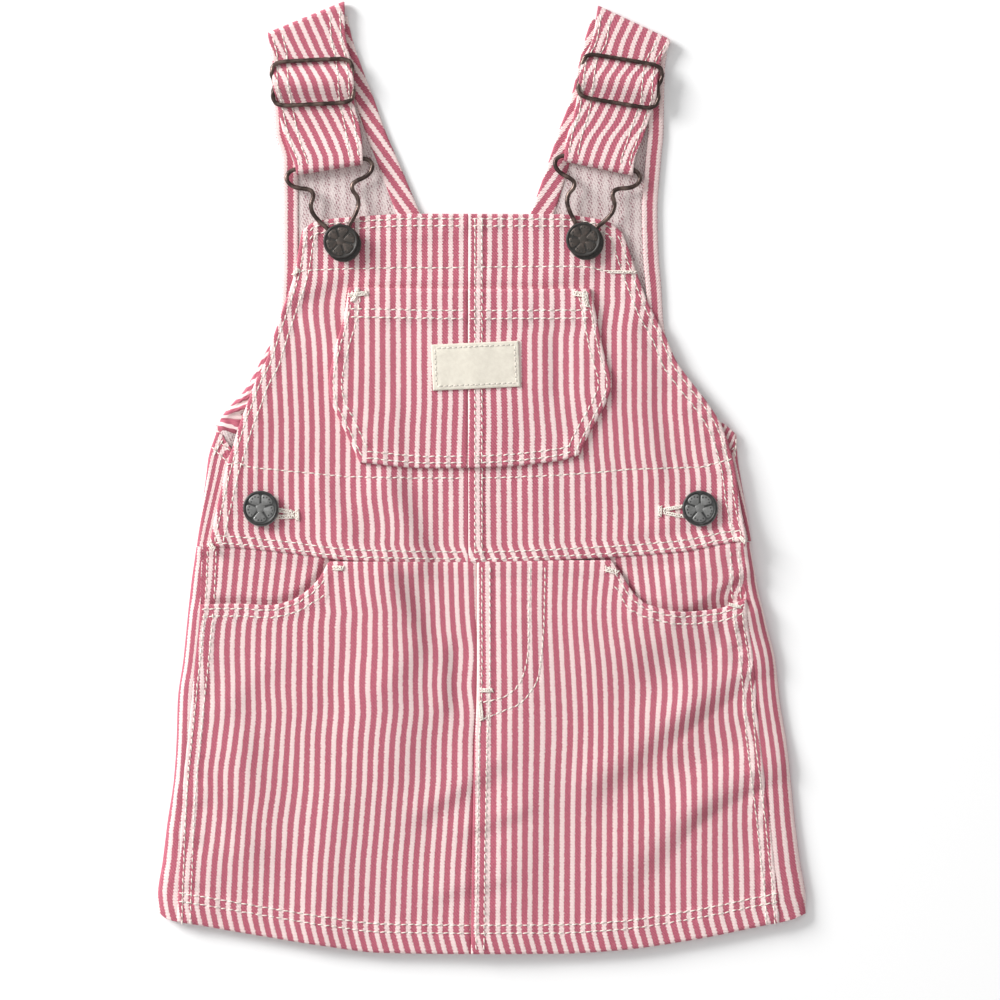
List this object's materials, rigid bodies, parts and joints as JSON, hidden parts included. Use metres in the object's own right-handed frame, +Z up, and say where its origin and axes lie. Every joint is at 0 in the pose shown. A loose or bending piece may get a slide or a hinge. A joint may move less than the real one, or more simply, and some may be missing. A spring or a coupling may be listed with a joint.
{
  "type": "baby overall skirt",
  "caption": "Baby's bib overall skirt laid flat, with folded straps, wire slides and hooks, patch bib pocket, hip pockets and side buttons.",
  "frame": {"origin": "under the middle of the garment's box, on the surface it lies on", "axes": "+X to the right as seen from the front, +Y up the garment towards the straps, +Z up from the surface, out of the garment's front"},
  "size_m": [0.259, 0.3808, 0.0077],
  "materials": {
    "striped_twill": "cotton twill, yarn-dyed in raspberry pink and cream stripes",
    "cream_yarn": "woven cream polyester, matt",
    "gunmetal": "antique gunmetal plating, half gloss"
  },
  "bodies": {
    "root": {"vest_back_left": "striped_twill", "vest_back_right": "striped_twill", "button_stand_left": "striped_twill", "button_stand_right": "striped_twill", "skirt_back_left": "striped_twill", "skirt_back_right": "striped_twill", "pocket_facing_left": "striped_twill", "pocket_facing_right": "striped_twill", "skirt_front_left": "striped_twill", "skirt_front_right": "striped_twill", "bib_left": "striped_twill", "bib_right": "striped_twill", "bib_pocket_left": "striped_twill", "bib_pocket_right": "striped_twill", "strap_left": "striped_twill", "strap_right": "striped_twill", "label": "cream_yarn", "slide_left": "gunmetal", "slide_right": "gunmetal", "hook_left": "gunmetal", "hook_right": "gunmetal", "bib_button_left": "gunmetal", "bib_button_right": "gunmetal", "side_button_left": "gunmetal", "side_button_right": "gunmetal"}
  },
  "joints": []
}
